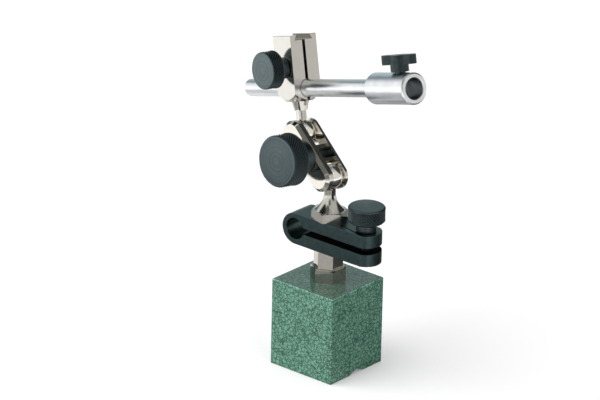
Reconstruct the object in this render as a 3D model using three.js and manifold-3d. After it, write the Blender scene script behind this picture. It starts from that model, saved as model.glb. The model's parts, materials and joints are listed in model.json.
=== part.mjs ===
// Small articulated magnetic base with a flexure fine adjuster, a double ball link,
// a split clamp block and a cross rod that ends in a gauge sleeve. Millimetres, +Z up.

import * as THREE from 'three';
import { mergeVertices } from 'three/addons/utils/BufferGeometryUtils.js';
import Module from 'manifold-3d';

const wasm = await Module();
wasm.setup();

// Gaps between neighbouring pieces
const fitGap = 0.15;
const turnGap = 0.3;
const ballGap = 0.2;
const overrun = 1;

// Magnet foot
const baseWidth = 30;
const baseDepth = 30;
const baseHeight = 35;
const baseEdge = 0.35;
const housingWall = 2.5;
const crownThickness = 13;
const grooveWidth = 9.4;
const grooveDepth = 1.8;
const magnetThickness = 6;
const spacerHeight = 8;

// Post and lock nut
const postDiameter = 8;
const postThreadDepth = 11;
const nutFlats = 12;
const nutHeight = 5.2;
const nutTurn = 55;
const neckFlats = 10;
const neckHeight = 7;
const neckTurn = 57;
const spigotDiameter = 6;
const hexChamfer = 0.7;
const hexChamferAngle = 30;

// Flexure bar
const barWidth = 11.6;
const barHeight = 12.4;
const boreDiameter = 8.5;
const boreReach = 12;
const slotHeight = 2.5;
const adjusterReach = 18;
const barEndRadius = 6.1;

// Fine adjuster
const adjusterKnobDiameter = 14.2;
const adjusterKnobHeight = 6;
const adjusterNeckDiameter = 7.6;
const adjusterNeckHeight = 3.9;
const adjusterScrewDiameter = 5;
const adjusterScrewHold = 4.5;
const adjusterScrewEnd = 0.8;
const knobChamfer = 0.6;

// Lower ball stud
const studFlats = 12;
const studHexHeight = 3.6;
const studHexTurn = 17;
const studShankDiameter = 6;
const studShankLength = 4.4;
const flareDiameter = 11.2;
const flareLength = 6.8;
const studNeckDiameter = 4.4;
const studReach = 13;
const flarePower = 1.7;

// Balls of both joints
const ballDiameter = 9.525;
const ballTipDiameter = 3;
const ballTipDepth = 2.5;

// Double ball link
const ballSpacing = 20.9;
const plateRadius = 5;
const nearPlateThickness = 3.4;
const farPlateThickness = 2.4;
const plateGap = 6.4;
const plateBevel = 1.2;
const ribThickness = 1.5;
const ribSpan = 8.4;
const ribScrewSpace = 0.35;
const upperRibOffset = 0.2;
const lowerRibOffset = 4.5;
const linkScrewDiameter = 4.5;
const linkBossDiameter = 12;
const linkBossLength = 6.1;
const linkKnobDiameter = 20;
const linkKnobLength = 8.2;
const linkKnobChamfer = 0.9;
const linkScrewHold = 6;

// Clamp block with its ball neck
const rodOffset = 16.8;
const blockWidth = 12;
const blockDepth = 11.2;
const blockAboveRod = 20.2;
const blockBelowRod = 4.8;
const blockEdge = 0.3;
const blockShoulderDiameter = 10.4;
const blockShoulderAngle = 45;
const coneDiameter = 6.6;
const coneLength = 3.2;
const ringDiameter = 5;
const ringLength = 0.5;
const headNeckDiameter = 4;
const slitWidth = 1.3;
const slitBelowBlock = 1.8;
const dovetailMouth = 6.2;
const dovetailFloor = 8.4;
const dovetailDepth = 2;

// Clamp knob and its screw
const clampKnobOffset = 8.2;
const clampKnobDiameter = 14.4;
const clampKnobLength = 5.9;
const clampNeckDiameter = 8;
const clampNeckLength = 3.9;
const clampScrewDiameter = 4;
const clampScrewHold = 4;
const clampScrewInset = 1;

// Cross rod, gauge sleeve and thumb screw
const rodDiameter = 6.7;
const rodTail = 31.2;
const rodToSleeve = 47.2;
const rodPress = 5;
const rodEndEdge = 0.6;
const sleeveDiameter = 11.8;
const sleeveLength = 24;
const sleeveBore = 8;
const sleeveBoreChamfer = 0.2;
const sleeveEndEdge = 0.5;
const sleeveShoulderEdge = 1.6;
const thumbScrewInset = 7.7;
const thumbShankDiameter = 4;
const thumbHubDiameter = 6.8;
const thumbHubLength = 2.7;
const thumbWingSpan = 13.6;
const thumbWingThickness = 4.2;
const thumbWingHeight = 3.5;
const thumbWingTurn = 28;

// Rest pose of the joints, in degrees
const armHeading = -5.4;
const ballLean = -7;
const linkTilt = -52.6;
const headTilt = 36.1;
const headSwivel = -8.2;

// Facets
const wideSides = 64;
const roundSides = 48;
const smallSides = 32;
const ballRings = 18;
const flareSteps = 7;
const edgeSteps = 2;

// Heights and places that follow from the sizes above
const pocketWidth = baseWidth - 2 * housingWall;
const pocketDepth = baseDepth - 2 * housingWall;
const pocketHeight = baseHeight - crownThickness;
const poleHeight = pocketHeight - fitGap;
const barBottom = baseHeight + nutHeight + neckHeight;
const barMiddle = barBottom + barHeight / 2;
const barTop = barBottom + barHeight;
const leafThickness = (barHeight - slotHeight) / 2;
const lowerBallHeight = barTop + studHexHeight + studReach;
const plateInner = plateGap / 2;
const nearPlateOuter = plateInner + nearPlateThickness;
const farPlateOuter = plateInner + farPlateThickness;
const linkBossStart = nearPlateOuter + turnGap;
const blockBottom = rodOffset - blockBelowRod;
const blockTop = rodOffset + blockAboveRod;

const degrees = THREE.MathUtils.degToRad;

// Materials
function coat(color, roughness, metalness) {
  return new THREE.MeshStandardMaterial({ color, roughness, metalness });
}
const greenEnamel = coat(0x4f8a6b, 0.3, 0.2);
const blackOxide = coat(0x2c3133, 0.45, 0.6);
const nickelPlate = coat(0xc9c2b6, 0.22, 1);
const turnedSteel = coat(0xc4c8cc, 0.3, 1);
const groundSteel = coat(0x9a9d9f, 0.35, 1);
const magnetGrey = coat(0x54585a, 0.7, 0.4);
const brass = coat(0xb5924c, 0.35, 1);

// A closed three.js geometry becomes a solid once its shared points are welded
function solid(geometry) {
  const bare = geometry.clone();
  bare.deleteAttribute('normal');
  bare.deleteAttribute('uv');
  const welded = mergeVertices(bare);
  const corners = welded.index.array;
  const kept = [];
  for (let i = 0; i < corners.length; i += 3) {
    const [a, b, c] = corners.slice(i, i + 3);
    if (a !== b && b !== c && c !== a) kept.push(a, b, c);
  }
  return new wasm.Manifold(new wasm.Mesh({
    numProp: 3,
    vertProperties: new Float32Array(welded.attributes.position.array),
    triVerts: new Uint32Array(kept),
  }));
}

function piece(name, shape, material) {
  const { vertProperties, triVerts } = shape.getMesh();
  const geometry = new THREE.BufferGeometry();
  geometry.setAttribute('position', new THREE.BufferAttribute(vertProperties, 3));
  geometry.setIndex(new THREE.BufferAttribute(triVerts, 1));
  geometry.computeVertexNormals();
  const mesh = new THREE.Mesh(geometry, material);
  mesh.name = name;
  return mesh;
}

// Basic forms, all standing on z = 0 along +Z unless they say otherwise
function cuboid(width, depth, height) {
  return solid(new THREE.BoxGeometry(width, depth, height).translate(0, 0, height / 2));
}

function turned(profile, sides) {
  const points = profile.map(([radius, height]) => new THREE.Vector2(radius, height));
  return solid(new THREE.LatheGeometry(points, sides).rotateX(Math.PI / 2));
}

function cylinder(diameter, length, sides) {
  const radius = diameter / 2;
  return turned([[0, 0], [radius, 0], [radius, length], [0, length]], sides);
}

function extruded(shape, height, curveSegments = smallSides) {
  return solid(new THREE.ExtrudeGeometry(shape, { depth: height, bevelEnabled: false, curveSegments }));
}

function outline(points) {
  return new THREE.Shape(points.map(([x, y]) => new THREE.Vector2(x, y)));
}

function ball(diameter) {
  return solid(new THREE.SphereGeometry(diameter / 2, smallSides, ballRings).rotateX(Math.PI / 2));
}

// Bodies turned or extruded along Z are laid along X or Y
const alongX = (shape) => shape.rotate([0, 90, 0]);
const alongY = (shape) => shape.rotate([-90, 0, 0]);
const alongMinusY = (shape) => shape.rotate([90, 0, 0]);

// A square block with rounded edges all round
function roundedBlock(width, depth, height, edge) {
  const x = width / 2 - edge;
  const y = depth / 2 - edge;
  const shape = outline([[-x, -y], [x, -y], [x, y], [-x, y]]);
  const geometry = new THREE.ExtrudeGeometry(shape, {
    depth: height - 2 * edge,
    bevelThickness: edge,
    bevelSize: edge,
    bevelSegments: edgeSteps,
  });
  return solid(geometry.translate(0, 0, edge));
}

// A hexagon bar whose top corners are turned off at thirty degrees
function hexagon(flats, height, turn, chamfer) {
  const corner = flats / Math.sqrt(3);
  const prism = cylinder(2 * corner, height, 6).rotate([0, 0, turn]);
  const shoulder = corner - chamfer;
  const blank = turned([
    [0, 0],
    [corner + chamfer, 0],
    [corner + chamfer, height - 2 * chamfer * Math.tan(degrees(hexChamferAngle))],
    [shoulder, height],
    [0, height],
  ], roundSides);
  return prism.intersect(blank);
}

// A knob head with turned off rims, and the collar below it, as one turned piece
function knob(collarDiameter, collarLength, headDiameter, headLength, chamfer, sides) {
  const collar = collarDiameter / 2;
  const head = headDiameter / 2;
  const top = collarLength + headLength;
  return turned([
    [0, 0],
    [collar, 0],
    [collar, collarLength],
    [head - chamfer, collarLength],
    [head, collarLength + chamfer],
    [head, top - chamfer],
    [head - chamfer, top],
    [0, top],
  ], sides);
}

// The trumpet that narrows from a wide foot to a slim neck
function flareProfile(footRadius, neckRadius, length, start) {
  const points = [];
  for (let i = 0; i <= flareSteps; i += 1) {
    const share = i / flareSteps;
    const radius = neckRadius + (footRadius - neckRadius) * (1 - share) ** flarePower;
    points.push([radius, start + share * length]);
  }
  return points;
}

// Magnet foot: painted housing, open below, with a V groove across its foot
function footGroove() {
  const half = grooveWidth / 2;
  const slope = grooveDepth / half;
  const low = overrun;
  const wide = half + low / slope;
  const length = baseWidth + 2 * overrun;
  const wedge = outline([[-wide, -low], [wide, -low], [0, grooveDepth]]);
  const upright = extruded(wedge, length).rotate([90, 0, 0]);
  return upright.rotate([0, 0, 90]).translate([-length / 2, 0, 0]);
}

function baseHousing() {
  const pocket = cuboid(pocketWidth, pocketDepth, pocketHeight + overrun).translate([0, 0, -overrun]);
  const postHole = cylinder(postDiameter + 2 * fitGap, crownThickness + 2 * overrun, smallSides)
    .translate([0, 0, pocketHeight - overrun]);
  return roundedBlock(baseWidth, baseDepth, baseHeight, baseEdge)
    .subtract(pocket)
    .subtract(postHole)
    .subtract(footGroove());
}

function polePlate() {
  const thickness = (pocketDepth - magnetThickness) / 2 - 2 * fitGap;
  const middle = magnetThickness / 2 + fitGap + thickness / 2;
  return cuboid(pocketWidth - 2 * fitGap, thickness, poleHeight)
    .translate([0, -middle, 0])
    .subtract(footGroove());
}

function magnetBlock() {
  const height = poleHeight - spacerHeight - fitGap;
  return cuboid(pocketWidth - 2 * fitGap, magnetThickness, height);
}

function poleSpacer() {
  return cuboid(pocketWidth - 2 * fitGap, magnetThickness, spacerHeight).subtract(footGroove());
}

// Post: threaded foot, hexagon neck and the spigot that holds the bar
function basePost() {
  const footLength = postThreadDepth + nutHeight;
  const foot = cylinder(postDiameter, footLength, smallSides).translate([0, 0, -postThreadDepth]);
  const corner = neckFlats / Math.sqrt(3);
  const neck = cylinder(2 * corner, neckHeight, 6).rotate([0, 0, neckTurn]).translate([0, 0, nutHeight]);
  const spigotLength = leafThickness - fitGap;
  const spigot = cylinder(spigotDiameter, spigotLength + neckHeight / 2, smallSides)
    .translate([0, 0, nutHeight + neckHeight / 2]);
  return foot.add(neck).add(spigot);
}

function lockNut() {
  const hole = cylinder(postDiameter + 2 * fitGap, nutHeight + 2 * overrun, smallSides)
    .translate([0, 0, -overrun]);
  return hexagon(nutFlats, nutHeight, nutTurn, hexChamfer).subtract(hole);
}

// Flexure bar: one bar, slit lengthwise from its round end bore to the adjuster end
function flexureBar() {
  const round = barHeight / 2;
  const end = adjusterReach + barEndRadius;
  const side = new THREE.Shape();
  side.moveTo(end, -round);
  side.lineTo(end, round);
  side.lineTo(-boreReach, round);
  side.absarc(-boreReach, 0, round, Math.PI / 2, 1.5 * Math.PI, false);
  side.closePath();
  const bar = extruded(side, barWidth, roundSides / 2).translate([0, 0, -barWidth / 2]).rotate([90, 0, 0]);

  const half = barWidth / 2;
  const meet = Math.asin(half / barEndRadius);
  const plan = new THREE.Shape();
  plan.moveTo(-boreReach - round - overrun, half);
  plan.lineTo(-boreReach - round - overrun, -half);
  plan.lineTo(adjusterReach + barEndRadius * Math.cos(meet), -half);
  plan.absarc(adjusterReach, 0, barEndRadius, -meet, meet, false);
  plan.closePath();
  const blank = extruded(plan, barHeight + 2 * overrun).translate([0, 0, -round - overrun]);

  const bore = alongY(cylinder(boreDiameter, barWidth + 2 * overrun, roundSides))
    .translate([-boreReach, -half - overrun, 0]);
  const slotLength = end + boreReach + overrun;
  const slot = cuboid(slotLength, barWidth + 2 * overrun, slotHeight)
    .translate([slotLength / 2 - boreReach, 0, -slotHeight / 2]);
  const drill = (diameter, x, z) => cylinder(diameter + 2 * fitGap, leafThickness + 2 * overrun, smallSides)
    .translate([x, 0, z]);
  return bar.intersect(blank)
    .subtract(bore)
    .subtract(slot)
    .subtract(drill(spigotDiameter, 0, -round - overrun))
    .subtract(drill(studShankDiameter, 0, slotHeight / 2 - overrun))
    .subtract(drill(adjusterScrewDiameter, adjusterReach, -round - overrun))
    .subtract(drill(adjusterScrewDiameter, adjusterReach, slotHeight / 2 - overrun));
}

function adjusterKnob() {
  const hole = cylinder(adjusterScrewDiameter + 2 * fitGap, adjusterScrewHold + overrun, smallSides)
    .translate([0, 0, -overrun]);
  return knob(adjusterNeckDiameter, adjusterNeckHeight - turnGap, adjusterKnobDiameter,
    adjusterKnobHeight, knobChamfer, wideSides).subtract(hole);
}

function adjusterScrew() {
  const length = barHeight - adjusterScrewEnd + turnGap + adjusterScrewHold - fitGap;
  return cylinder(adjusterScrewDiameter, length, smallSides);
}

// Lower ball stud: hexagon, trumpet and neck, its shank screwed into the upper leaf
function lowerBallStud() {
  const shank = cylinder(studShankDiameter, studShankLength + studHexHeight / 2, smallSides)
    .translate([0, 0, -studShankLength]);
  const tipStart = studReach + studHexHeight - ballDiameter / 2 + turnGap;
  const tipEnd = tipStart + ballTipDepth;
  const neck = studNeckDiameter / 2;
  const tip = ballTipDiameter / 2;
  const stem = turned([
    [0, studHexHeight / 2],
    [flareDiameter / 2, studHexHeight / 2],
    ...flareProfile(flareDiameter / 2, neck, flareLength, studHexHeight),
    [neck, tipStart - turnGap],
    [tip, tipStart - turnGap],
    [tip, tipEnd],
    [0, tipEnd],
  ], smallSides);
  return shank.add(hexagon(studFlats, studHexHeight, studHexTurn, hexChamfer)).add(stem);
}

// A bearing ball drilled to sit on the tip of its neck, which comes from below
function drilledBall() {
  const hole = cylinder(ballTipDiameter + 2 * fitGap, ballTipDepth + turnGap + fitGap + overrun, smallSides)
    .translate([0, 0, -ballDiameter / 2 - overrun]);
  return ball(ballDiameter).subtract(hole);
}

// Link plate: full round ends, a bevel round its outer face, a ball seat near each end and
// a hole for the screw. It lies along Z from ball to ball, inner face on y = 0, outer toward -Y
function linkPlate(thickness, screwHole) {
  const slab = (radius, depth) => {
    const shape = new THREE.Shape();
    shape.absarc(0, 0, radius, Math.PI, 2 * Math.PI, false);
    shape.absarc(0, ballSpacing, radius, 0, Math.PI, false);
    shape.closePath();
    return extruded(shape, depth, roundSides / 2);
  };
  const outer = plateRadius - plateBevel;
  const bevelStart = thickness - plateBevel;
  const bevelledEnd = (y) => turned([
    [0, bevelStart / 2],
    [plateRadius, bevelStart / 2],
    [plateRadius, bevelStart],
    [outer, thickness],
    [0, thickness],
  ], roundSides).translate([0, y, 0]);
  const waist = extruded(outline([
    [-plateRadius, bevelStart / 2],
    [plateRadius, bevelStart / 2],
    [plateRadius, bevelStart],
    [outer, thickness],
    [-outer, thickness],
    [-plateRadius, bevelStart],
  ]), ballSpacing).rotate([90, 0, 0]).translate([0, ballSpacing, 0]);
  const seat = ball(ballDiameter + 2 * ballGap).translate([0, 0, -plateInner]);
  const hole = cylinder(screwHole, thickness + 2 * overrun, smallSides)
    .translate([0, ballSpacing / 2, -overrun]);
  return slab(plateRadius, bevelStart)
    .add(bevelledEnd(0))
    .add(bevelledEnd(ballSpacing))
    .add(waist)
    .subtract(seat)
    .subtract(seat.translate([0, ballSpacing, 0]))
    .subtract(hole)
    .rotate([90, 0, 0]);
}

function nearLinkPlate() {
  return linkPlate(nearPlateThickness, linkScrewDiameter + 2 * turnGap).translate([0, -plateInner, 0]);
}

// The far plate carries two pairs of ribs near its edges that keep the plates apart
function farLinkPlate() {
  const height = plateGap - turnGap;
  const inner = linkScrewDiameter / 2 + ribScrewSpace;
  const outer = ribSpan / 2;
  const root = farPlateThickness / 2;
  const across = plateInner - (height - root) / 2;
  const rib = cuboid(outer - inner, height + root, ribThickness);
  const plate = linkPlate(farPlateThickness, linkScrewDiameter + 2 * fitGap)
    .rotate([0, 0, 180])
    .translate([0, plateInner, 0]);
  const starts = [ballSpacing / 2 + upperRibOffset, ballSpacing / 2 - lowerRibOffset - ribThickness];
  const sides = [(inner + outer) / 2, -(inner + outer) / 2];
  return starts.reduce((whole, start) => sides.reduce(
    (part, side) => part.add(rib.translate([side, across, start])), whole), plate);
}

function linkKnob() {
  const hole = cylinder(linkScrewDiameter + 2 * fitGap, linkScrewHold + overrun, smallSides)
    .translate([0, 0, -overrun]);
  return alongMinusY(knob(linkBossDiameter, linkBossLength, linkKnobDiameter,
    linkKnobLength, linkKnobChamfer, wideSides).subtract(hole));
}

function linkScrew() {
  const length = nearPlateOuter + farPlateOuter + turnGap + linkScrewHold - fitGap;
  return alongMinusY(cylinder(linkScrewDiameter, length, smallSides));
}

// Clamp block: ball neck, cone and split body with a rod bore and a dovetail on top. The lower
// corners of the square body are turned off
function clampBlock() {
  const height = blockAboveRod + blockBelowRod;
  const shoulder = blockShoulderDiameter / 2;
  const wide = Math.hypot(blockDepth, blockWidth) / 2 + overrun;
  const rise = (wide - shoulder) * Math.tan(degrees(blockShoulderAngle));
  const blank = turned([
    [0, blockBottom],
    [shoulder, blockBottom],
    [wide, blockBottom + rise],
    [wide, blockTop + overrun],
    [0, blockTop + overrun],
  ], roundSides);
  const body = roundedBlock(blockDepth, blockWidth, height, blockEdge)
    .translate([0, 0, blockBottom])
    .intersect(blank);
  const coneStart = blockBottom - coneLength;
  const ringStart = coneStart - ringLength;
  const tipStart = ballDiameter / 2 + turnGap;
  const stem = turned([
    [0, tipStart - turnGap - ballTipDepth],
    [ballTipDiameter / 2, tipStart - turnGap - ballTipDepth],
    [ballTipDiameter / 2, tipStart],
    [headNeckDiameter / 2, tipStart],
    [headNeckDiameter / 2, ringStart],
    [ringDiameter / 2, ringStart],
    [ringDiameter / 2, coneStart],
    [coneDiameter / 2, blockBottom],
    [coneDiameter / 2, blockBottom + blockEdge],
    [0, blockBottom + blockEdge],
  ], smallSides);

  const through = blockDepth + 2 * overrun;
  const rodBore = alongX(cylinder(rodDiameter + 2 * fitGap, through, roundSides))
    .translate([-through / 2, 0, rodOffset]);
  const slitBottom = blockBottom - slitBelowBlock;
  const slitHeight = blockTop - slitBottom - dovetailDepth / 2;
  const slit = cuboid(through, slitWidth, slitHeight).translate([0, 0, slitBottom]);
  const floor = dovetailFloor / 2;
  const mouth = dovetailMouth / 2;
  const tail = outline([
    [-floor, -dovetailDepth],
    [floor, -dovetailDepth],
    [mouth, 0],
    [mouth, overrun],
    [-mouth, overrun],
    [-mouth, 0],
  ]);
  const dovetail = extruded(tail, through).rotate([90, 0, 0]).rotate([0, 0, 90])
    .translate([-through / 2, 0, blockTop]);
  const screwHole = alongY(cylinder(clampScrewDiameter + 2 * fitGap, blockWidth + 2 * overrun, smallSides))
    .translate([0, -blockWidth / 2 - overrun, rodOffset + clampKnobOffset]);
  return body.add(stem).subtract(rodBore).subtract(slit).subtract(dovetail).subtract(screwHole);
}

function clampKnob() {
  const hole = cylinder(clampScrewDiameter + 2 * fitGap, clampScrewHold + overrun, smallSides)
    .translate([0, 0, -overrun]);
  return alongMinusY(knob(clampNeckDiameter, clampNeckLength, clampKnobDiameter,
    clampKnobLength, knobChamfer, wideSides).subtract(hole));
}

function clampScrew() {
  const length = blockWidth + turnGap + clampScrewHold - fitGap - clampScrewInset;
  return alongMinusY(cylinder(clampScrewDiameter, length, smallSides));
}

// Cross rod and sleeve, both along X from the middle of the clamp block
function crossRod() {
  const radius = rodDiameter / 2;
  const length = rodTail + rodToSleeve + rodPress;
  return alongX(turned([
    [0, 0],
    [radius - rodEndEdge, 0],
    [radius, rodEndEdge],
    [radius, length - rodEndEdge],
    [radius - rodEndEdge, length],
    [0, length],
  ], roundSides)).translate([-rodTail, 0, 0]);
}

function rodSleeve() {
  const outer = sleeveDiameter / 2;
  const bore = sleeveBore / 2;
  const press = rodDiameter / 2 + fitGap;
  const step = rodPress + fitGap;
  const tube = turned([
    [press, 0],
    [outer - sleeveShoulderEdge, 0],
    [outer, sleeveShoulderEdge],
    [outer, sleeveLength - sleeveEndEdge],
    [outer - sleeveEndEdge, sleeveLength],
    [bore + sleeveBoreChamfer, sleeveLength],
    [bore, sleeveLength - sleeveBoreChamfer],
    [bore, step],
    [press, step],
    [press, 0],
  ], roundSides);
  const hole = cylinder(thumbShankDiameter + 2 * fitGap, outer + overrun, smallSides)
    .translate([sleeveLength - thumbScrewInset, 0, 0]);
  return alongX(tube).subtract(hole);
}

// Thumb screw: a round hub with two blunt wings, and the shank that reaches the bore
function thumbScrewHead() {
  const hub = thumbHubDiameter / 2;
  const half = thumbWingThickness / 2;
  const reach = thumbWingSpan / 2 - half;
  const wings = new THREE.Shape();
  wings.absarc(-reach, 0, half, Math.PI / 2, 1.5 * Math.PI, false);
  wings.absarc(reach, 0, half, -Math.PI / 2, Math.PI / 2, false);
  wings.closePath();
  const height = thumbHubLength + thumbWingHeight;
  const hole = cylinder(thumbShankDiameter + 2 * fitGap, height / 2 + overrun, smallSides)
    .translate([0, 0, -overrun]);
  return cylinder(2 * hub, height, smallSides)
    .add(extruded(wings, thumbWingHeight, smallSides / 2).translate([0, 0, thumbHubLength]))
    .subtract(hole);
}

function thumbScrewShank() {
  const height = thumbHubLength + thumbWingHeight;
  const wall = (sleeveDiameter - sleeveBore) / 2;
  return cylinder(thumbShankDiameter, wall + turnGap + height / 2 - fitGap, smallSides);
}

// Assembly, from the foot up
const stand = new THREE.Group();
const put = (parent, mesh, x, y, z) => {
  mesh.position.set(x, y, z);
  parent.add(mesh);
  return mesh;
};

put(stand, piece('base_housing', baseHousing(), greenEnamel), 0, 0, 0);
put(stand, piece('front_pole', polePlate(), groundSteel), 0, 0, 0);
put(stand, piece('rear_pole', polePlate(), groundSteel), 0, 0, 0).rotation.z = Math.PI;
put(stand, piece('magnet_block', magnetBlock(), magnetGrey), 0, 0, spacerHeight + fitGap);
put(stand, piece('pole_spacer', poleSpacer(), brass), 0, 0, 0);
put(stand, piece('base_post', basePost(), nickelPlate), 0, 0, baseHeight);
put(stand, piece('base_lock_nut', lockNut(), nickelPlate), 0, 0, baseHeight);
put(stand, piece('flexure_bar', flexureBar(), blackOxide), 0, 0, barMiddle);
put(stand, piece('lower_ball_stud', lowerBallStud(), nickelPlate), 0, 0, barTop);
put(stand, piece('fine_adjust_knob', adjusterKnob(), blackOxide), adjusterReach, 0, barTop + turnGap);
put(stand, piece('fine_adjust_screw', adjusterScrew(), blackOxide), adjusterReach, 0,
  barBottom + adjusterScrewEnd);
put(stand, piece('lower_ball', drilledBall(), nickelPlate), 0, 0, lowerBallHeight);

// The arm stands on the lower ball: heading about Z, lean about its own X, tilt about Y
const arm = new THREE.Group();
arm.position.z = lowerBallHeight;
arm.rotation.z = degrees(armHeading);
stand.add(arm);
const leaning = new THREE.Group();
leaning.rotation.x = degrees(ballLean);
arm.add(leaning);
const link = new THREE.Group();
link.rotation.y = degrees(linkTilt);
leaning.add(link);

put(link, piece('near_link_plate', nearLinkPlate(), nickelPlate), 0, 0, 0);
put(link, piece('far_link_plate', farLinkPlate(), nickelPlate), 0, 0, 0);
put(link, piece('link_knob', linkKnob(), blackOxide), 0, -linkBossStart, ballSpacing / 2);
put(link, piece('link_screw', linkScrew(), blackOxide), 0, farPlateOuter, ballSpacing / 2);

// The head stands on the upper ball and turns about its own stem
const head = new THREE.Group();
head.position.z = ballSpacing;
head.rotation.y = degrees(headTilt);
link.add(head);
const stem = new THREE.Group();
stem.rotation.z = degrees(headSwivel);
head.add(stem);

put(head, piece('upper_ball', drilledBall(), nickelPlate), 0, 0, 0).rotation.x = Math.PI;
put(stem, piece('clamp_block', clampBlock(), nickelPlate), 0, 0, 0);
put(stem, piece('clamp_knob', clampKnob(), blackOxide), 0, -blockWidth / 2 - turnGap,
  rodOffset + clampKnobOffset);
put(stem, piece('clamp_screw', clampScrew(), blackOxide), 0, blockWidth / 2 - clampScrewInset,
  rodOffset + clampKnobOffset);

const cross = new THREE.Group();
cross.position.z = rodOffset;
stem.add(cross);
put(cross, piece('cross_rod', crossRod(), turnedSteel), 0, 0, 0);
put(cross, piece('rod_sleeve', rodSleeve(), turnedSteel), rodToSleeve, 0, 0);
const thumb = new THREE.Group();
thumb.position.x = rodToSleeve + sleeveLength - thumbScrewInset;
thumb.rotation.z = degrees(thumbWingTurn);
cross.add(thumb);
put(thumb, piece('thumb_screw_head', thumbScrewHead(), blackOxide), 0, 0, sleeveDiameter / 2 + turnGap);
put(thumb, piece('thumb_screw_shank', thumbScrewShank(), blackOxide), 0, 0, sleeveBore / 2);

// The origin is the middle of the whole outline, on the surface that the foot stands on
const group = new THREE.Group();
group.add(stand);
group.updateMatrixWorld(true);
const extent = new THREE.Box3().setFromObject(group, true);
const middle = extent.getCenter(new THREE.Vector3());
stand.position.set(-middle.x, -middle.y, -extent.min.z);

export default group;
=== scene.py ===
# %% [markdown]
# # A small articulated magnetic base
#
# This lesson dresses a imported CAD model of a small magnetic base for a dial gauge. The foot is a
# painted magnet block. On it stand a lock nut, a slit black bar with a fine adjuster, a double
# ball link with one big knob, and a split clamp block that holds a rod with a gauge sleeve.
# The CAD solids give every place and size. Here each visible piece gets finer edges, knurling
# and a finish made from nodes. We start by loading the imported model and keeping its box.

import json
import math

import bmesh
import bpy
from mathutils import Matrix, Vector


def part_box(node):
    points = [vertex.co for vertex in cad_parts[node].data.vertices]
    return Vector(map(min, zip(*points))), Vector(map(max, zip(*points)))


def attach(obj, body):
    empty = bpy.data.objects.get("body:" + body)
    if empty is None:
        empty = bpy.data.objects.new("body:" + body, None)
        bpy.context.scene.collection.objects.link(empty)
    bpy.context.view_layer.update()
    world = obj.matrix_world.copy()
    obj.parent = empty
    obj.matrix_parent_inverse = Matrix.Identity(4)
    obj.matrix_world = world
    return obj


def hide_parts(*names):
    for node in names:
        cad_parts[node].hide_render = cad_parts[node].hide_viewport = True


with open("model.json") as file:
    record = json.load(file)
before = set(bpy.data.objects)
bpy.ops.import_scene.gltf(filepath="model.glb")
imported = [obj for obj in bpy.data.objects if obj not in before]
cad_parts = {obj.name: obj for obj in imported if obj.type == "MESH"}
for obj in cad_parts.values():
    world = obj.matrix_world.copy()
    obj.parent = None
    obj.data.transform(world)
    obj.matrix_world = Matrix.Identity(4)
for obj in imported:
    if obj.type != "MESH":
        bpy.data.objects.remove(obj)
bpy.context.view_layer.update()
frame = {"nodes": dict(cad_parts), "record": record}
joints = {joint["name"]: joint for joint in frame["record"]["behaviour"]["joints"]}
scene = bpy.context.scene

# %% [markdown]
# ## The camera
#
# The picture was taken from the front right and a little above, from well away, so upright edges
# stay almost parallel. Three angles describe such a view: the heading round the foot, the height
# above the table, and a roll of little more than one degree. From them we work out which way is
# right and which way is up in the picture.

# %% Direction of view
foot_low, foot_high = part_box("base_housing")
foot_middle = Vector(((foot_low.x + foot_high.x) / 2, (foot_low.y + foot_high.y) / 2, 0))

azimuth = math.radians(39.726)
elevation = math.radians(24.055)
roll = math.radians(1.406)
toward_camera = Vector((math.sin(azimuth) * math.cos(elevation),
                        -math.cos(azimuth) * math.cos(elevation), math.sin(elevation)))
level = Vector((math.cos(azimuth), math.sin(azimuth), 0))
upright = toward_camera.cross(level)
picture_right = level * math.cos(roll) + upright * math.sin(roll)
picture_up = upright * math.cos(roll) - level * math.sin(roll)
print("camera looks from", [round(v, 3) for v in toward_camera])

# %% [markdown]
# The camera stands 1.6 m from the foot behind a long lens. The foot isn't in the middle of the
# picture, so the camera looks at a point a little left of it and well above. A camera looks
# along its own minus Z, so the matrix gets its side, top and back directions as columns.

# %% Camera
camera_distance = 1.6
half_foot_height = 0.0175
left_of_foot, above_foot = 0.01021, 0.04556
focal_length, sensor_width = 252.8, 36

foot_centre = foot_middle + Vector((0, 0, half_foot_height))
camera_place = foot_centre + toward_camera * camera_distance
looked_at = foot_centre - picture_right * left_of_foot + picture_up * above_foot
back = (camera_place - looked_at).normalized()
side = (picture_right - back * picture_right.dot(back)).normalized()
top = back.cross(side)

lens = bpy.data.cameras.new("photo_camera")
lens.lens = focal_length
lens.sensor_width = sensor_width
camera = bpy.data.objects.new("photo_camera", lens)
camera.matrix_world = Matrix((
    (side.x, top.x, back.x, camera_place.x),
    (side.y, top.y, back.y, camera_place.y),
    (side.z, top.z, back.z, camera_place.z),
    (0, 0, 0, 1)))
scene.collection.objects.link(camera)
scene.camera = camera
scene.view_settings.view_transform = "Standard"
print("camera at", [round(v, 3) for v in camera_place])

# %% [markdown]
# ## Helpers for node trees
#
# A material is a tree of nodes. Building one by hand in the editor is quick, but a script can
# repeat it exactly. One helper adds a node and fills its inputs, either with plain values or with
# links from other nodes. The rest are short names for the nodes that come up again and again.

# %% Add a node
def node_tree(owner):
    """The empty node tree of a material or a world."""
    owner.use_nodes = True
    owner.node_tree.nodes.clear()
    return owner.node_tree


def add(tree, kind, inputs=(), **settings):
    """Adds one shader node. An input that is a socket gets linked, any other is set."""
    made = tree.nodes.new("ShaderNode" + kind)
    for key, value in settings.items():
        setattr(made, key, value)
    for key, value in dict(inputs).items():
        socket = made.inputs[key]
        if isinstance(value, bpy.types.NodeSocket):
            tree.links.new(value, socket)
        else:
            socket.default_value = value
    return made


print("nodes go in with add()")


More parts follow.
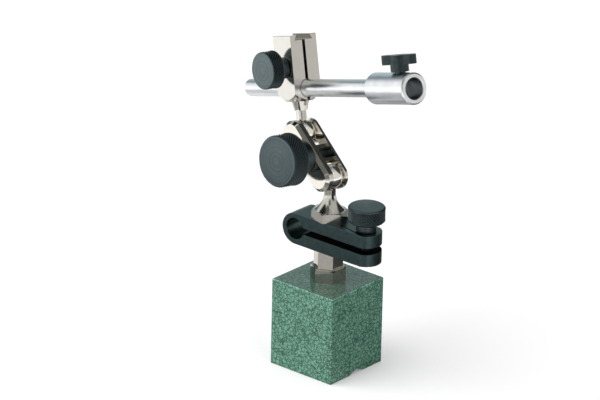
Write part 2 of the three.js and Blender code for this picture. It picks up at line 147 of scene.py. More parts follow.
# %% Colours and colour ramps
def rgba(colour):
    """A grey level or a red, green and blue triple, as the four numbers that a socket takes."""
    red, green, blue = (colour,) * 3 if isinstance(colour, float) else colour
    return (red, green, blue, 1)


def ramp(tree, factor, stops):
    """A Color Ramp with (place, colour) stops."""
    made = add(tree, "ValToRGB", {"Fac": factor})
    elements = made.color_ramp.elements
    while len(elements) < len(stops):
        elements.new(0.5)
    for element, (place, colour) in zip(elements, stops):
        element.position = place
        element.color = rgba(colour)
    return made.outputs["Color"]


def mixed(tree, share, first, second, blend="MIX"):
    """Two colours, mixed or multiplied."""
    colours = {"Factor": share, 6: first, 7: second}
    return add(tree, "Mix", colours, data_type="RGBA", blend_type=blend).outputs[2]


print("white is", rgba(1.0))


# %% Arithmetic in nodes
def number(tree, operation, *values):
    """One Math node."""
    return add(tree, "Math", dict(enumerate(values)), operation=operation).outputs[0]


def vector(tree, operation, *values):
    """One Vector Math node. A length or a dot product is a number, the rest are vectors."""
    made = add(tree, "VectorMath", dict(enumerate(values)), operation=operation)
    return made.outputs["Value" if operation in ("LENGTH", "DOT_PRODUCT") else "Vector"]


def remap(tree, value, start, end, low=0.0, high=1.0, smooth=False):
    """A Map Range node: value from start to end becomes low to high."""
    ends = dict(enumerate((value, start, end, low, high)))
    kind = "SMOOTHSTEP" if smooth else "LINEAR"
    return add(tree, "MapRange", ends, interpolation_type=kind).outputs[0]


def noise(tree, place, scale, detail, **more):
    """The grey output of a Noise Texture at a place in space."""
    inputs = {"Vector": place, "Scale": scale, "Detail": detail, **more}
    return add(tree, "TexNoise", inputs).outputs[0]


print("arithmetic nodes ready")

# %% [markdown]
# ## The paper floor
#
# The object stands on plain white paper. One wide flat face is enough for it, made with a grid
# of one square.

# %% Floor
floor_half_width = 4


def as_mesh(bm, name="tool"):
    """Writes a bmesh to a new mesh and frees it."""
    mesh = bpy.data.meshes.new(name)
    bm.to_mesh(mesh)
    bm.free()
    return mesh


floor_shape = bmesh.new()
bmesh.ops.create_grid(floor_shape, x_segments=1, y_segments=1, size=floor_half_width)
floor = bpy.data.objects.new("studio_floor", as_mesh(floor_shape, "studio_floor"))
scene.collection.objects.link(floor)
print("floor is", floor.dimensions.x, "m wide")

# %% [markdown]
# ## Paper that polished metal can mirror
#
# Polished metal has no colour of its own: it shows what stands round it, and in an all white
# room it looks like chalk. A photographer puts grey and black cards beside such a part. Here
# the paper plays the cards. For reflected rays only, the paper within about 25 cm of the foot
# takes a tone that changes with its heading from the foot. The paper that the camera sees stays
# white, with its shadow.

# %% Tones of the paper by heading
card_ring_inner, card_ring_outer = 0.25, 0.285
card_tones = (
    (0.0, 0.30), (0.083, 0.85), (0.17, 0.52), (0.29, 0.27), (0.40, 0.42), (0.46, 0.40),
    (0.51, 0.10), (0.555, 0.75), (0.62, 0.40), (0.69, 0.06), (0.81, 0.05), (0.92, 0.40),
    (1.0, 0.30))

paper = bpy.data.materials.new("white_paper")
paper_tree = node_tree(paper)
floor_place = add(paper_tree, "TexCoord").outputs["Object"]
turned_floor = add(paper_tree, "VectorRotate", {
    "Vector": floor_place, "Angle": math.pi / 2 - azimuth}, rotation_type="Z_AXIS").outputs[0]
flat = add(paper_tree, "SeparateXYZ", {0: turned_floor}).outputs
heading = number(paper_tree, "ARCTAN2", flat["Y"], flat["X"])
cards = ramp(paper_tree, remap(paper_tree, heading, -math.pi, math.pi), card_tones)
from_foot = vector(paper_tree, "LENGTH", floor_place)
near = remap(paper_tree, from_foot, card_ring_inner, card_ring_outer, 1.0, 0.0, smooth=True)
print("cards have", len(card_tones), "tones")

# %% [markdown]
# The camera should see pure white paper with a soft shadow. More light would wash out the
# colours of the object, so the paper gets a faint glow that only camera rays see. It grows with
# the distance, where the lamps no longer reach. Paper beyond the cards glows a little in
# reflections too, so that upright polished faces stay light.

# %% Colour and glow of the paper
paper_grain_scale = 900.0
glow_start, glow_end = 0.3, 1.1
glow_near_object, glow_far_off = 0.16, 1.0
reflected_glow = 0.20

ray = add(paper_tree, "LightPath").outputs
grain = add(paper_tree, "TexNoise", {"Scale": paper_grain_scale, "Detail": 2.0}).outputs[0]
plain_paper = ramp(paper_tree, grain, [(0.3, 0.86), (0.7, 0.88)])
card_share = number(paper_tree, "MULTIPLY", near, ray["Is Glossy Ray"])
paper_colour = mixed(paper_tree, card_share, plain_paper, cards)
diffuse = add(paper_tree, "BsdfDiffuse", {"Color": paper_colour})

lift = remap(paper_tree, from_foot, glow_start, glow_end, glow_near_object, glow_far_off)
seen_glow = number(paper_tree, "MULTIPLY", ray["Is Camera Ray"], lift)
far = number(paper_tree, "SUBTRACT", 1.0, near)
far_glow = number(paper_tree, "MULTIPLY", far, ray["Is Glossy Ray"])
strength = number(paper_tree, "MULTIPLY_ADD", far_glow, reflected_glow, seen_glow)
glow = add(paper_tree, "Emission", {"Color": rgba(1.0), "Strength": strength})
both = add(paper_tree, "AddShader", {0: diffuse.outputs[0], 1: glow.outputs[0]})
add(paper_tree, "OutputMaterial", {"Surface": both.outputs[0]})
floor.data.materials.append(paper)
print("paper has", len(paper_tree.nodes), "nodes")

# %% [markdown]
# ## The room in reflections
#
# The world does three jobs. The camera sees white. Matt surfaces get a soft even light that is
# a little stronger from the sides than from straight above. Mirrors see a studio: white in front
# and on the left, where the window is, warm grey on the right and blue grey behind.

# %% Studio walls
window_wall = (0.98, 0.98, 0.97)
right_wall = (0.70, 0.69, 0.67)
back_wall = (0.09, 0.13, 0.16)
back_ends, right_begins = -0.4, 0.7
toward_window = (-0.30, -0.95, 0.0)
window_rim, window_middle = 0.06, 0.5

world = bpy.data.worlds.new("soft_studio")
scene.world = world
world_tree = node_tree(world)
look = add(world_tree, "TexCoord").outputs["Generated"]
look_parts = add(world_tree, "SeparateXYZ", {0: look}).outputs
to_right = remap(world_tree, look_parts["X"], back_ends, right_begins)
studio = mixed(world_tree, to_right, rgba(back_wall), rgba(right_wall))
to_window = vector(world_tree, "DOT_PRODUCT", look, toward_window)
window_share = remap(world_tree, to_window, window_rim, window_middle, smooth=True)
studio = mixed(world_tree, window_share, studio, rgba(window_wall))
print("walls painted")

# %% [markdown]
# Flat faces and bevels each mirror one small part of the room. Four round cards hang there, so
# that each such face gets its tone: a grey green one for faces that look up, a black one for the
# edges of the link plates, a dark one for their bevels, and one at the camera for the faces that
# look straight at it. A card shows where the dot product of the direction with the card's own
# direction comes close to one.

# %% Cards in the room
room_cards = (
    ((-0.583, 0.702, 0.408), 0.82, 0.97, (0.47, 0.57, 0.58)),
    ((0.10, 0.86, 0.50), 0.79, 0.91, (0.04, 0.045, 0.045)),
    ((0.115, -0.571, 0.813), 0.93, 0.98, (0.17, 0.18, 0.165)),
    ((0.583, -0.702, 0.408), 0.92, 0.98, (0.22, 0.22, 0.22)))

for toward_card, rim, middle, colour in room_cards:
    closeness = vector(world_tree, "DOT_PRODUCT", look, toward_card)
    share = remap(world_tree, closeness, rim, middle, smooth=True)
    studio = mixed(world_tree, share, studio, rgba(colour))
print("room has", len(room_cards), "cards")

# %% [markdown]
# The three jobs come together here. A Light Path node tells what kind of ray asks, and two Mix
# Shader nodes choose by it: first reflections or matt surfaces, then the camera over both.

# %% Light of the world
light_from_sides, light_from_above = 0.50, 0.36
sides_end, above_begins = 0.15, 0.7

reflected = add(world_tree, "Background", {"Color": studio, "Strength": 1.0})
by_height = remap(world_tree, look_parts["Z"], sides_end, above_begins,
                  light_from_sides, light_from_above)
even_light = add(world_tree, "Background", {"Color": rgba(1.0), "Strength": by_height})
white = add(world_tree, "Background", {"Color": rgba(1.0), "Strength": 1.0})
ray = add(world_tree, "LightPath").outputs
unseen = add(world_tree, "MixShader", {
    0: ray["Is Glossy Ray"], 1: even_light.outputs[0], 2: reflected.outputs[0]})
seen = add(world_tree, "MixShader", {
    0: ray["Is Camera Ray"], 1: unseen.outputs[0], 2: white.outputs[0]})
add(world_tree, "OutputWorld", {"Surface": seen.outputs[0]})
print("world has", len(world_tree.nodes), "nodes")

# %% [markdown]
# ## Lamps
#
# Three wide area lamps stand in for a window on the left, a ceiling panel and a weak fill on the
# right. Wide lamps give soft shadows. Mirrors don't see them, because a bright lamp would burn
# the nickel to plain white from some sides. The studio walls above are there for that.

# %% Soft lamps
lamp_target = Vector((0, 0, 0.07))


def soft_lamp(name, place, size, power):
    """A rectangle of light in metres and watts, aimed at the middle of the object."""
    data = bpy.data.lights.new(name, "AREA")
    data.shape = "RECTANGLE"
    data.size, data.size_y = size
    data.energy = power
    lamp = bpy.data.objects.new(name, data)
    lamp.location = place
    lamp.visible_glossy = False
    aim = lamp_target - Vector(place)
    lamp.rotation_euler = aim.to_track_quat("-Z", "Y").to_euler()
    scene.collection.objects.link(lamp)
    print(name, "gives", power, "W")


soft_lamp("window_left", (-0.75, -0.95, 0.8), (2.1, 1.5), 25.0)
soft_lamp("overhead", (-0.1, 0.1, 1.3), (1.2, 1.2), 4.5)
soft_lamp("fill_right", (1.2, -0.3, 0.5), (0.6, 0.8), 4.2)

# %% [markdown]
# ## Frames to build in
#
# Every joint of the model has a place and an axis. A knob is easiest to make upright at the
# origin and in millimetres, then it is laid into its joint's frame. These matrices do that:
# they scale millimetres to metres and turn the local axes to where the arm holds the piece.

# %% Frame from an axis
millimetres = Matrix.Scale(0.001, 4)


def frame_matrix(origin, z_axis, x_hint):
    """A frame at origin with its Z along z_axis and its X near x_hint, in millimetres."""
    z = Vector(z_axis).normalized()
    y = z.cross(Vector(x_hint)).normalized()
    x = y.cross(z)
    o = Vector(origin)
    return Matrix(((x.x, y.x, z.x, o.x), (x.y, y.y, z.y, o.y),
                   (x.z, y.z, z.z, o.z), (0, 0, 0, 1))) @ millimetres


stand_frame = Matrix.Translation(foot_middle) @ millimetres
print("foot stands at", [round(v, 4) for v in foot_middle])

# %% Frames of the balls and the rod
lower_ball_place = Vector(joints["arm_swivel"]["pos_m"])
upper_ball_place = Vector(joints["head_swivel"]["pos_m"])
rod_way = Vector(joints["rod_slide"]["axis"])
stem_way = Vector(joints["head_swivel"]["axis"])
link_way = (upper_ball_place - lower_ball_place).normalized()

lower_ball_frame = Matrix.Translation(lower_ball_place) @ millimetres
upper_ball_frame = frame_matrix(upper_ball_place, -stem_way, rod_way)
stem_frame = frame_matrix(upper_ball_place, stem_way, rod_way)
rod_low, rod_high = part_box("cross_rod")
rod_height = ((rod_low + rod_high) / 2 - upper_ball_place).dot(stem_way)
rod_frame = frame_matrix(upper_ball_place + stem_way * rod_height, rod_way, stem_way)
print("rod passes the clamp", round(rod_height * 1000, 2), "mm above the upper ball")


# %% Frames of the knobs
def knob_frame(joint_name, x_hint):
    """The frame of a joint that a knob turns on."""
    joint = joints[joint_name]
    return frame_matrix(joint["pos_m"], joint["axis"], x_hint)


link_knob_frame = knob_frame("link_knob_turn", link_way)
clamp_knob_frame = knob_frame("clamp_knob_turn", rod_way)
adjuster_frame = knob_frame("fine_adjust_turn", (1, 0, 0))
print("link knob faces", [round(v, 2) for v in joints["link_knob_turn"]["axis"]])

# %% [markdown]
# ## Helpers for finishes
#
# Every finish reads Object coordinates. The pieces sit unmoved at the origin, so these are the
# metres of the shared frame, and a pattern has the same scale on every piece. A finish starts
# with them and ends in one Principled shader.

# %% Start and end of a finish
def start_finish(name):
    """A new material, its node tree and the place on the surface."""
    material = bpy.data.materials.new(name)
    tree = node_tree(material)
    return material, tree, add(tree, "TexCoord").outputs["Object"]


def end_finish(material, tree, sockets):
    """Closes the tree with a Principled shader that has these sockets."""
    skin = add(tree, "BsdfPrincipled", sockets)
    add(tree, "OutputMaterial", {"Surface": skin.outputs[0]})
    print(material.name, "has", len(tree.nodes), "nodes")
    return material


def bump(tree, height, strength, distance, **more):
    """Small bumps where height is high, over a distance in metres."""
    inputs = {"Strength": strength, "Distance": distance, "Height": height, **more}
    return add(tree, "Bump", inputs).outputs[0]


# %% [markdown]
# Marks on a turned piece follow its axis. A dot product gives the height along the axis. A cross
# product points round it, and its length is the radius.

# %% Turning round an axis
def spun_coordinates(tree, place, axis_frame):
    """Height along a frame's axis, and the vector round the axis with its length, the radius."""
    axis = tuple(axis_frame.to_3x3().col[2].normalized())
    across = vector(tree, "SUBTRACT", place, tuple(axis_frame.translation))
    along = vector(tree, "DOT_PRODUCT", across, axis)
    round_axis = vector(tree, "CROSS_PRODUCT", axis, across)
    return along, round_axis, vector(tree, "LENGTH", round_axis)


def fine_rings(tree, value, scale, detail):
    """Noise along one number, which draws rings on a turned piece."""
    inputs = {"W": value, "Scale": scale, "Detail": detail}
    return add(tree, "TexNoise", inputs, noise_dimensions="1D").outputs[0]


print("finishes can follow an axis")

# %% [markdown]
# ## Blackened steel
#
# The bar, knobs and screws are steel with a thin black oxide. It isn't paint: the metal still
# shines through, dark and a little blue green. So it stays metallic with a dark colour, and a
# fine mottle changes its tone and gloss. Plain screws and the moulded thumb screw need no more.

# %% Black oxide
oxide_grain = 700.0
oxide_gloss = [(0.3, 0.28), (0.7, 0.38)]
oxide_bump, oxide_depth = 0.12, 0.00005


def black_skin(tree, place, dark, light):
    """The sockets that all black pieces start from."""
    mottle = noise(tree, place, oxide_grain, 5.0, Roughness=0.65)
    return {"Base Color": ramp(tree, mottle, [(0.3, dark), (0.7, light)]),
            "Roughness": ramp(tree, mottle, oxide_gloss), "Metallic": 1.0,
            "Normal": bump(tree, mottle, oxide_bump, oxide_depth)}


def plain_black(name, dark, light):
    material, tree, place = start_finish(name)
    return end_finish(material, tree, black_skin(tree, place, dark, light))


black_screw = plain_black("black_steel", (0.038, 0.056, 0.057), (0.058, 0.083, 0.084))
black_moulded = plain_black("black_thumb_steel", (0.036, 0.050, 0.050), (0.054, 0.073, 0.073))

# %% [markdown]
# A knob was faced on a lathe, so its end has fine rings, and light draws out along them. That
# takes a bump that follows the radius and an anisotropic gloss whose tangent runs round the
# axis. Below the end face the rim and collar hold less light, so painted shade lowers their tone
# there, by a different amount on each knob.

# %% Black knobs
ring_scale, ring_detail = 1500.0, 3.0
ring_bump, ring_depth = 0.4, 0.00005
ring_dark, ring_light = 0.75, 1.2
ring_stretch = 0.6
side_start, side_end = 0.0006, 0.0002


def black_knob(name, tones, axis_frame, face_height, side_shade):
    """Black oxide with turning rings, and painted shade below face_height in metres along the axis.
    """
    material, tree, place = start_finish(name)
    sockets = black_skin(tree, place, *tones)
    along, round_axis, radius = spun_coordinates(tree, place, axis_frame)
    rings = fine_rings(tree, radius, ring_scale, ring_detail)
    # Painted shade on the rim and collar below the end face.
    side = remap(tree, along, face_height - side_start, face_height - side_end, side_shade, 1.0)
    ring_tone = remap(tree, rings, 0.3, 0.7, ring_dark, ring_light)
    tone = number(tree, "MULTIPLY", side, ring_tone)
    sockets["Base Color"] = mixed(tree, 1.0, sockets["Base Color"], tone, "MULTIPLY")
    sockets["Normal"] = bump(tree, rings, ring_bump, ring_depth, Normal=sockets["Normal"])
    sockets["Tangent"] = vector(tree, "NORMALIZE", round_axis)
    sockets["Anisotropic"] = ring_stretch
    return end_finish(material, tree, sockets)


# The link knob gets darker tones than the small knobs: painted shade on the same oxide.
small_knob = ((0.102, 0.134, 0.139), (0.126, 0.164, 0.169))
large_knob = ((0.078, 0.103, 0.109), (0.098, 0.128, 0.134))
black_link_knob = black_knob("black_steel_link_knob", large_knob, link_knob_frame, 0.0143, 0.78)
black_clamp_knob = black_knob("black_steel_clamp_knob", small_knob, clamp_knob_frame, 0.0098, 0.52)
black_adjuster = black_knob("black_steel_adjuster", small_knob, adjuster_frame, 0.0096, 0.98)

# %% [markdown]
# ## Helpers for pieces
#
# Most of these pieces came off a lathe. A lathe shape is a profile spun round an axis, so one
# helper does that for every turned piece. Spin leaves doubled points at the seam and on the axis,
# which are merged, and the faces are then made to point outwards.

# %% Turning
turning_steps = 96
post_hole_steps, screw_hole_steps = 48, 32


def turned(profile, steps=turning_steps):
    """A profile of (radius, height) points, spun round Z."""
    bm = bmesh.new()
    points = [bm.verts.new((radius, 0, height)) for radius, height in profile]
    lines = [bm.edges.new(pair) for pair in zip(points, points[1:])]
    bmesh.ops.spin(bm, geom=points + lines, axis=(0, 0, 1), cent=(0, 0, 0),
                   angle=math.tau, steps=steps, use_merge=True)
    bmesh.ops.remove_doubles(bm, verts=bm.verts, dist=1e-4)
    bmesh.ops.recalc_face_normals(bm, faces=bm.faces)
    return bm


def round_bar(radius, start, end, steps):
    """A plain round bar, which mostly serves to drill a hole."""
    return turned([(0, start), (radius, start), (radius, end), (0, end)], steps)


print("turned pieces have", turning_steps, "steps round the axis")

# %% [markdown]
# Holes and pockets are cut with a Boolean modifier. It works on objects, so the helper wraps the
# two meshes in objects for a moment, reads the result and removes them again. A cutter starts
# 1 mm outside the piece, because two faces in the same plane don't cut cleanly.

# %% Cutting
overrun = 1


def cut(bm, tool_bm, operation="DIFFERENCE"):
    """Cuts one bmesh with another and returns the result. Both are used up."""
    target = bpy.data.objects.new("blank", as_mesh(bm, "blank"))
    tool = bpy.data.objects.new("tool", as_mesh(tool_bm))
    scene.collection.objects.link(target)
    scene.collection.objects.link(tool)
    step = target.modifiers.new("cut", "BOOLEAN")
    step.operation = operation
    step.solver = "EXACT"
    step.object = tool
    bpy.context.view_layer.update()
    done = target.evaluated_get(bpy.context.evaluated_depsgraph_get())
    result = bmesh.new()
    result.from_mesh(done.to_mesh())
    done.to_mesh_clear()
    for used in (target, tool):
        mesh = used.data
        bpy.data.objects.remove(used)
        bpy.data.meshes.remove(mesh)
    return result


print("cutters overrun by", overrun, "mm")

# %% [markdown]
# No real edge is perfectly sharp, and a small radius catches the light. Bevel rounds each edge
# that is sharper than 30 degrees. A last helper lays the shape into its frame and makes it a
# piece: it gets its material, smooth shading with sharp edges kept and the body that it rides on,
# and the CAD node that it stands for is hidden.

# %% Rounding and finishing
sharp_edge = math.radians(30)
smooth_below = math.radians(35)


def soften(bm, width, segments):
    """Rounds every sharp edge."""
    sharp = [edge for edge in bm.edges
             if len(edge.link_faces) == 2 and edge.calc_face_angle() > sharp_edge]
    bmesh.ops.bevel(bm, geom=sharp, offset=width, segments=segments, affect="EDGES",
                    profile=0.5, material=-1, clamp_overlap=True)


def finished(bm, name, place, material, body, replaces):
    """Lays a bmesh into its frame and makes it a piece that rides on a body."""
    bmesh.ops.transform(bm, matrix=place, verts=bm.verts)
    mesh = as_mesh(bm, name)
    mesh.materials.append(material)
    mesh.shade_smooth()
    mesh.set_sharp_from_angle(angle=smooth_below)
    piece = bpy.data.objects.new(name, mesh)
    scene.collection.objects.link(piece)
    weighted = piece.modifiers.new("even_shading", "WEIGHTED_NORMAL")
    weighted.keep_sharp = True
    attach(piece, body)
    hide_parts(*replaces)
    print(name, "has", len(mesh.polygons), "faces")
    return piece


print("edges over", round(math.degrees(sharp_edge)), "degrees get rounded")

# %% [markdown]
# ## Knurled knobs
#
# The three black knobs are turned and then knurled: a wheel presses two sets of slanted grooves
# into the rim, which leaves small pyramids. A bump map would leave the outline smooth, so the
# knurl is real shape. The rim is spun with four columns and four rows to each pyramid, and each
# rim point is then sunk by how close it lies to a groove of either set.

# %% Knurl
knurl_pitch = 1.25
knurl_depth = 0.5
points_per_pyramid = 4


def press_knurl(bm, rim_radius, low, high, columns, rows):
    """Sinks the points of a rim between two heights into crossing grooves."""
    for vert in bm.verts:
        radius = math.hypot(vert.co.x, vert.co.y)
        if abs(radius - rim_radius) > 1e-3 or not low < vert.co.z < high:
            continue
        across = math.atan2(vert.co.y, vert.co.x) / math.tau * columns
        along = (vert.co.z - low) / (high - low) * rows
        ridge = min(1 - abs(2 * ((across + slant * along) % 1) - 1) for slant in (1, -1))
        shrink = 1 - knurl_depth * (1 - ridge) / radius
        vert.co.x *= shrink
        vert.co.y *= shrink


print("knurl pitch", knurl_pitch, "mm")

# %% [markdown]
# The adjuster knob bends the slit bar by a few tenths of a millimetre. Like the others it is one
# turned profile: collar, rim and a rounded upper corner. The hole from below is for its screw.

# %% Knob
corner_in, corner_down, face_in = 0.45, 0.4, 1.1


def knurled_knob(collar, head, edge, hole):
    """A knob with its collar below. Collar, head and screw hole are (radius, length)."""
    collar_radius, collar_length = collar
    head_radius, head_length = head
    top = collar_length + head_length
    low, high = collar_length + edge, top - edge
    columns = round(math.tau * head_radius / knurl_pitch)
    rows = round((high - low) / knurl_pitch)
    steps = rows * points_per_pyramid
    rim = [(head_radius, low + (high - low) * i / steps) for i in range(steps + 1)]
    profile = [(0, 0), (collar_radius, 0), (collar_radius, collar_length),
               (head_radius - edge, collar_length), *rim,
               (head_radius - edge * corner_in, top - edge * corner_down),
               (head_radius - edge * face_in, top), (0, top)]
    knob = turned(profile, columns * points_per_pyramid)
    press_knurl(knob, head_radius, low, high, columns, rows)
    hole_radius, hole_depth = hole
    return cut(knob, round_bar(hole_radius, -overrun, hole_depth, screw_hole_steps))


adjuster = knurled_knob(collar=(3.8, 3.6), head=(7.1, 6.0), edge=0.6, hole=(2.65, 4.5))
finished(adjuster, "knurled_adjuster_knob", adjuster_frame, black_adjuster,
         "fine_adjuster", ["fine_adjust_knob"])

# %% [markdown]
# The big knob draws the two link plates against both balls, and the last one closes the split
# block on the rod. They differ from the first only in their sizes.

# %% Link knob and clamp knob
link_knob = knurled_knob(collar=(6.0, 6.1), head=(10.0, 8.2), edge=0.9, hole=(2.4, 6.0))
finished(link_knob, "knurled_link_knob", link_knob_frame, black_link_knob,
         "link_knob", ["link_knob"])

clamp_knob = knurled_knob(collar=(4.0, 3.9), head=(7.2, 5.9), edge=0.6, hole=(2.15, 4.0))
finished(clamp_knob, "knurled_clamp_knob", clamp_knob_frame, black_clamp_knob,
         "clamp_knob", ["clamp_knob"])

# %% [markdown]
# ## Green enamel
#
# Hammered enamel dries into pale islands with thin dark veins between them. Voronoi cells, read
# as the distance to their edges, give the islands, but their edges are too straight. So the
# place is first shifted by noise, and curling lines from a second noise are added.

# %% Veins
drift_scale, drift_reach = 800.0, 0.0016
cell_scale, curl_scale = 660.0, 330.0
curl_sharpness = 5.0


def vein_distance(tree, place):
    """How far a point of the enamel lies from the nearest vein."""
    drift = add(tree, "TexNoise", {"Vector": place, "Scale": drift_scale, "Detail": 1.0})
    shift = vector(tree, "MULTIPLY", drift.outputs["Color"], (drift_reach,) * 3)
    bent = vector(tree, "ADD", place, shift)
    cells = add(tree, "TexVoronoi", {"Vector": bent, "Scale": cell_scale, "Randomness": 1.0},
                feature="DISTANCE_TO_EDGE").outputs["Distance"]
    curls = noise(tree, bent, curl_scale, 1.0, Distortion=0.6)
    to_curl = number(tree, "ABSOLUTE", number(tree, "SUBTRACT", curls, 0.5))
    return number(tree, "MINIMUM", cells, number(tree, "MULTIPLY", to_curl, curl_sharpness))


print("cells about", round(1000 / cell_scale, 1), "mm wide")

# %% [markdown]
# The distance colours the enamel from dark vein to pale island, and a slow noise varies the
# tone. The tone also follows how far the surface looks up: a painted highlight makes the rounded
# edges pale, and painted shade darkens the flat top. A clear coat over a dull base gives the wet
# gloss of the real one.

# %% Enamel
vein_colours = [(0.0, (0.026, 0.072, 0.050)), (0.05, (0.050, 0.130, 0.090)),
                (0.12, (0.120, 0.275, 0.197)), (0.4, (0.158, 0.340, 0.252))]
painted_light_by_tilt = [(0.1, 1.0), (0.3, 1.7), (0.85, 1.7), (0.97, 0.58)]
patch_scale = 300.0
vein_bump, vein_depth = 0.2, 0.00008

enamel, enamel_tree, enamel_place = start_finish("green_enamel")
vein = vein_distance(enamel_tree, enamel_place)
patches = noise(enamel_tree, enamel_place, patch_scale, 4.0, Roughness=0.6)
shade = ramp(enamel_tree, patches, [(0.35, 0.9), (0.65, 1.06)])
green = mixed(enamel_tree, 1.0, ramp(enamel_tree, vein, vein_colours), shade, "MULTIPLY")
normal = add(enamel_tree, "NewGeometry").outputs["Normal"]
looks_up = add(enamel_tree, "SeparateXYZ", {0: normal}).outputs["Z"]
# Painted highlight on the rounded edges and painted shade on the flat top, by normal Z.
green_with_painted_light = mixed(enamel_tree, 1.0, green, ramp(enamel_tree, looks_up, painted_light_by_tilt), "MULTIPLY")
end_finish(enamel, enamel_tree, {
    "Base Color": green_with_painted_light, "Roughness": 0.45,
    "Normal": bump(enamel_tree, vein, vein_bump, vein_depth),
    "Coat Weight": 1.0, "Coat Roughness": 0.02, "Coat IOR": 1.55, "Specular IOR Level": 0.1})

# %% [markdown]
# ## The painted foot
#
# The foot is a steel block with a thick coat of enamel that rounds every edge. A cube is bevelled
# first and then cut, because the edges of the cuts are sharper. The cuts are the pocket for the
# magnet, the V groove along the underside and the post hole, the same as in the solid.

# %% Block and magnet pocket
foot_half_width = 15
foot_height = 35
pocket_half_width = 12.5
pocket_height = 22
enamel_radius = 0.35


def box_shape(low, high):
    """A box between two corners."""
    bm = bmesh.new()
    bmesh.ops.create_cube(bm, size=1)
    bmesh.ops.scale(bm, vec=Vector(high) - Vector(low), verts=bm.verts)
    bmesh.ops.translate(bm, vec=(Vector(low) + Vector(high)) / 2, verts=bm.verts)
    return bm


foot = box_shape((-foot_half_width, -foot_half_width, 0),
                 (foot_half_width, foot_half_width, foot_height))
soften(foot, enamel_radius, 4)
foot = cut(foot, box_shape((-pocket_half_width, -pocket_half_width, -overrun),
                           (pocket_half_width, pocket_half_width, pocket_height)))
print("block with pocket has", len(foot.faces), "faces")

# %% [markdown]
# The V groove lets the foot sit on a round bar. Its cutter is a triangle, extruded along the
# foot, and it starts below the foot so that the cut is clean.

# %% V groove and post hole
wedge_half_width = 7.3
wedge_end_place = foot_half_width + overrun
groove_top = 1.8
post_hole_radius = 4.15
post_hole_start = 20


def extruded(bm, faces, way):
    """Pushes faces out along a vector, which gives a flat shape its length."""
    grown = bmesh.ops.extrude_face_region(bm, geom=faces)
    ends = [part for part in grown["geom"] if isinstance(part, bmesh.types.BMVert)]
    bmesh.ops.translate(bm, vec=way, verts=ends)
    bmesh.ops.recalc_face_normals(bm, faces=bm.faces)


wedge = bmesh.new()
corners = ((-wedge_end_place, -wedge_half_width, -overrun),
           (-wedge_end_place, wedge_half_width, -overrun), (-wedge_end_place, 0, groove_top))
wedge_end = wedge.faces.new([wedge.verts.new(corner) for corner in corners])
extruded(wedge, [wedge_end], (2 * wedge_end_place, 0, 0))
foot = cut(foot, wedge)
foot = cut(foot, round_bar(post_hole_radius, post_hole_start, foot_height + overrun,
                           post_hole_steps))
finished(foot, "painted_foot", stand_frame, enamel, "base", ["base_housing"])

# %% [markdown]
# ## Nickel plate
#
# Nickel is a warm, pale metal. Polished, it mirrors the room, so the colour stays nearly even
# and almost all of its look comes from a low roughness. A cloudy noise keeps it from being
# perfect. The pieces differ in polish, so tones and polish are given for each.

# %% Plated finish
plate_tones = ((0.68, 0.65, 0.585), (0.77, 0.735, 0.67))
plate_polish = (0.07, 0.14)
plate_bump_distance = 0.00004


def box_share(tree, place, box_frame, spans):
    """1 inside a box given as (axis, middle, half) in metres in a frame, and 0 outside."""
    offset = vector(tree, "SUBTRACT", place, tuple(box_frame.translation))
    inside = 1.0
    for axis, middle, half in spans:
        way = tuple(box_frame.to_3x3().col[axis].normalized())
        local = vector(tree, "DOT_PRODUCT", offset, way)
        inside = number(tree, "MULTIPLY", inside, number(tree, "COMPARE", local, middle, half))
    return inside


def nickel_plate(name, tones, polish, grain=300.0, cloudiness=0.05, shaded=None):
    """Nickel, with a box of it in shade where shaded gives (frame, spans, colour)."""
    material, tree, place = start_finish(name)
    cloud = noise(tree, place, grain, 6.0, Roughness=0.7)
    colour = ramp(tree, cloud, list(zip((0.3, 0.7), tones)))
    if shaded is not None:
        box_frame, spans, shade = shaded
        colour = mixed(tree, box_share(tree, place, box_frame, spans), colour, rgba(shade))
    return end_finish(material, tree, {
        "Base Color": colour, "Metallic": 1.0,
        "Roughness": ramp(tree, cloud, list(zip((0.3, 0.7), polish))),
        "Normal": bump(tree, cloud, cloudiness, plate_bump_distance)})


polished_nickel = nickel_plate("polished_nickel", plate_tones, plate_polish)
ball_nickel = nickel_plate(
    "ball_nickel", ((0.91, 0.88, 0.81), (0.97, 0.945, 0.88)), plate_polish)

# %% [markdown]
# ## Balls
#
# Two bearing balls carry the link. A polished ball shows every facet in its mirror image, so
# its arc is spun with many steps. Each keeps the small hole where it sits on its neck.

# %% Drilled ball
ball_radius = 4.7625
ball_hole_radius = 1.65
ball_hole_depth = 2.95
arc_steps = 48


def drilled_ball():
    """A ball with a hole from below."""
    start = math.asin(ball_hole_radius / ball_radius)
    angles = [start + (math.pi - start) * i / arc_steps for i in range(arc_steps + 1)]
    arc = [(ball_radius * math.sin(angle), -ball_radius * math.cos(angle)) for angle in angles]
    hole_end = -ball_radius + ball_hole_depth
    return turned([(0, hole_end), (ball_hole_radius, hole_end), *arc])


finished(drilled_ball(), "polished_lower_ball", lower_ball_frame, ball_nickel,
         "lower_ball", ["lower_ball"])
finished(drilled_ball(), "polished_upper_ball", upper_ball_frame, ball_nickel,
         "upper_ball", ["upper_ball"])

# %% [markdown]
# ## Lock nut
#
# A hexagon nut is cut from hexagon bar, and a lathe then bevels its corners, which gives the
# curved lines on each flat. The same two steps make it here: a six sided bar, and what it has in
# common with a turned blank. The nut on the foot gets a darker tone than the rest.

# %% Hexagon
corner_bevel = 0.7
hexagon_edge = 0.12


